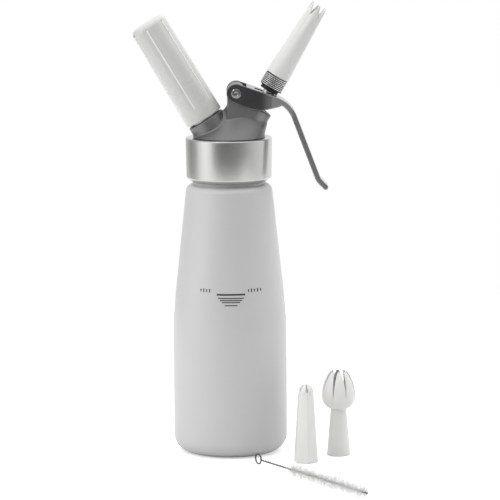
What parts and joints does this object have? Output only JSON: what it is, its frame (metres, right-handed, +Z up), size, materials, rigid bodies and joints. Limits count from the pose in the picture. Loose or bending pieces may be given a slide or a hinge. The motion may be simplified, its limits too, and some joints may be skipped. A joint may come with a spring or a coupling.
{
  "type": "whipped cream dispenser",
  "caption": "Pressure bottle with a screw-on cast head, a squeeze lever over a sprung valve, a decorator tip, a leaning charger holder, two spare tips and a cleaning brush.",
  "frame": {"origin": "centre of the bottle's foot ring, on the surface that it stands on", "axes": "+Z up the bottle's axis, +X towards the lever and the decorator tip, the charger leans towards -X"},
  "size_m": [0.1592, 0.2087, 0.3173],
  "materials": {
    "lacquered_bottle": "satin, fine grain",
    "cast_head": "bead-blasted casting with a machined collar",
    "cast_lever": "satin cast",
    "chromed_pin": "polished",
    "steel": "turned",
    "charger_steel": "zinc plated",
    "brush_steel": "twisted wire",
    "brass": "turned",
    "red_silicone": "matte",
    "black_rubber": "matte",
    "white_plastic": "satin moulded",
    "nylon": "translucent bristles"
  },
  "bodies": {
    "bottle": {"bottle": "lacquered_bottle", "spare_straight_tip": "white_plastic", "spare_tulip_tip": "white_plastic", "brush_wire": "brush_steel", "brush_bristles": "nylon"},
    "head_seal": {"head_gasket": "red_silicone"},
    "head": {"head_casting": "cast_head", "lever_pivot_pin": "chromed_pin", "pivot_clip": "chromed_pin", "stem_guide_bush": "brass", "stem_o_ring": "black_rubber", "valve_spring": "steel", "inlet_valve_disc": "black_rubber", "piercing_pin_body": "brass", "piercing_pin": "steel", "charger_seal": "black_rubber"},
    "lever": {"lever": "cast_lever"},
    "valve": {"valve_stem": "steel", "valve_seal": "black_rubber", "seal_retainer": "steel"},
    "adapter": {"tip_adapter": "steel"},
    "tip": {"star_tip": "white_plastic"},
    "charger": {"gas_charger": "charger_steel"},
    "holder": {"charger_holder": "white_plastic", "holder_insert": "brass"}
  },
  "joints": [
    {"name": "head_lift", "type": "slide", "parent": "bottle", "child": "head_seal", "axis": [0, 0, 1], "range_m": [0, 0.012]},
    {"name": "head_turn", "type": "hinge", "parent": "head_seal", "child": "head", "pos_m": [0, 0, 0.2085], "axis": [0, 0, 1], "range_deg": [0, 1080]},
    {"name": "lever_pivot", "type": "hinge", "parent": "head", "child": "lever", "pos_m": [0.0053, 0, 0.2545], "axis": [0, 1, 0], "range_deg": [0, 10], "stiffness_Nm_per_rad": 0.84, "springref_deg": -12.03},
    {"name": "valve_slide", "type": "slide", "parent": "head", "child": "valve", "axis": [-0.515, 0, -0.8572], "range_m": [0, 0.0035], "deforming": ["valve_spring"]},
    {"name": "tip_lift", "type": "slide", "parent": "valve", "child": "adapter", "axis": [0.515, 0, 0.8572], "range_m": [0, 0.008]},
    {"name": "tip_turn", "type": "hinge", "parent": "adapter", "child": "tip", "pos_m": [0, 0, 0.2085], "axis": [0.515, 0, 0.8572], "range_deg": [0, 1440]},
    {"name": "charger_lift", "type": "slide", "parent": "head", "child": "charger", "axis": [-0.515, 0, 0.8572], "range_m": [0, 0.008]},
    {"name": "holder_turn", "type": "hinge", "parent": "charger", "child": "holder", "pos_m": [0, 0, 0.2085], "axis": [-0.515, 0, 0.8572], "range_deg": [0, 1440]}
  ],
  "couplings": [
    {"joint": "head_lift", "follows": "head_turn", "m_per_rad": 0.00063661},
    {"joint": "valve_slide", "follows": "lever_pivot", "m_per_rad": 0.01915},
    {"joint": "tip_lift", "follows": "tip_turn", "m_per_rad": 0.0003183},
    {"joint": "charger_lift", "follows": "holder_turn", "m_per_rad": 0.0003183}
  ]
}
